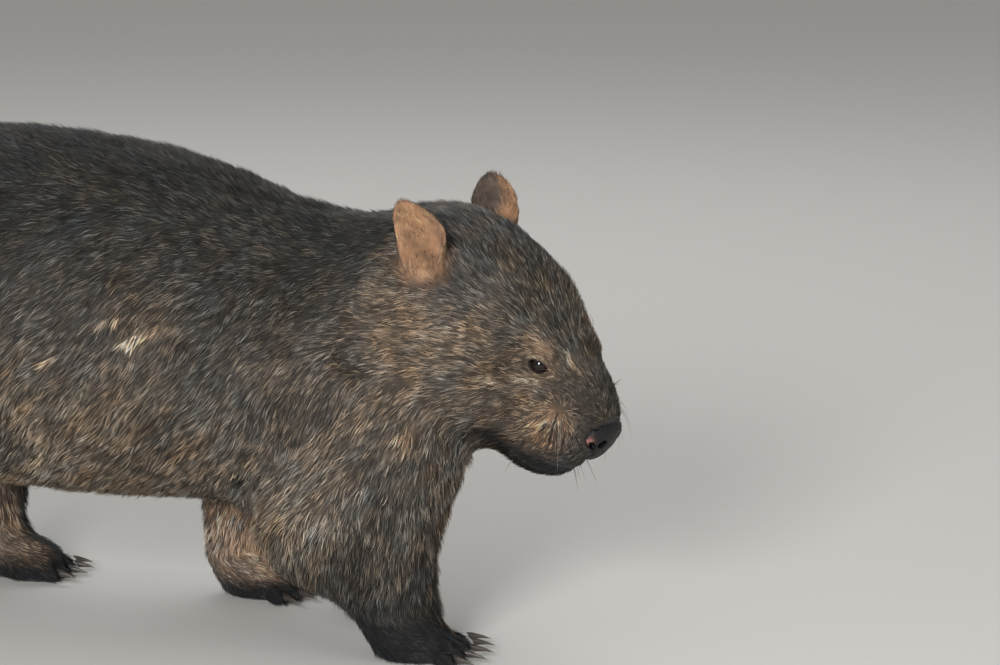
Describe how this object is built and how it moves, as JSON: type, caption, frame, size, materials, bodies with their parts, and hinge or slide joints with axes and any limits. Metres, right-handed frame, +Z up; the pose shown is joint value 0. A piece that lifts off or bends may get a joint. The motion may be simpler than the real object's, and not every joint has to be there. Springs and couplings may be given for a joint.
{
  "type": "wombat",
  "caption": "Life-size standing figure of a stout, short-legged marsupial in a thick short coat, walking with its head low.",
  "frame": {"origin": "on the ground under the middle of the animal's box", "axes": "+X towards the head, +Y to the animal's left, +Z up"},
  "size_m": [0.8884, 0.3382, 0.4113],
  "materials": {
    "coat": "short grizzled brown-grey fur",
    "ear": "thin skin, sparsely haired inside",
    "nose": "bare, leathery",
    "claw": "worn horn",
    "eye": "wet dark eye"
  },
  "bodies": {
    "root": {"claw_fore_left_1": "claw", "claw_fore_left_2": "claw", "claw_fore_left_3": "claw", "claw_fore_left_4": "claw", "claw_fore_left_5": "claw", "claw_fore_right_1": "claw", "claw_fore_right_2": "claw", "claw_fore_right_3": "claw", "claw_fore_right_4": "claw", "claw_fore_right_5": "claw", "claw_hind_left_1": "claw", "claw_hind_left_2": "claw", "claw_hind_left_3": "claw", "claw_hind_left_4": "claw", "claw_hind_right_1": "claw", "claw_hind_right_2": "claw", "claw_hind_right_3": "claw", "claw_hind_right_4": "claw", "ear_left": "ear", "ear_right": "ear", "eye_left": "eye", "eye_right": "eye", "forearm_left": "coat", "forearm_right": "coat", "forepaw_left": "coat", "forepaw_right": "coat", "head": "coat", "hindfoot_left": "coat", "hindfoot_right": "coat", "neck": "coat", "nose": "nose", "shin_left": "coat", "shin_right": "coat", "tail": "coat", "thigh_left": "coat", "thigh_right": "coat", "torso": "coat", "upper_arm_left": "coat", "upper_arm_right": "coat"}
  },
  "joints": []
}
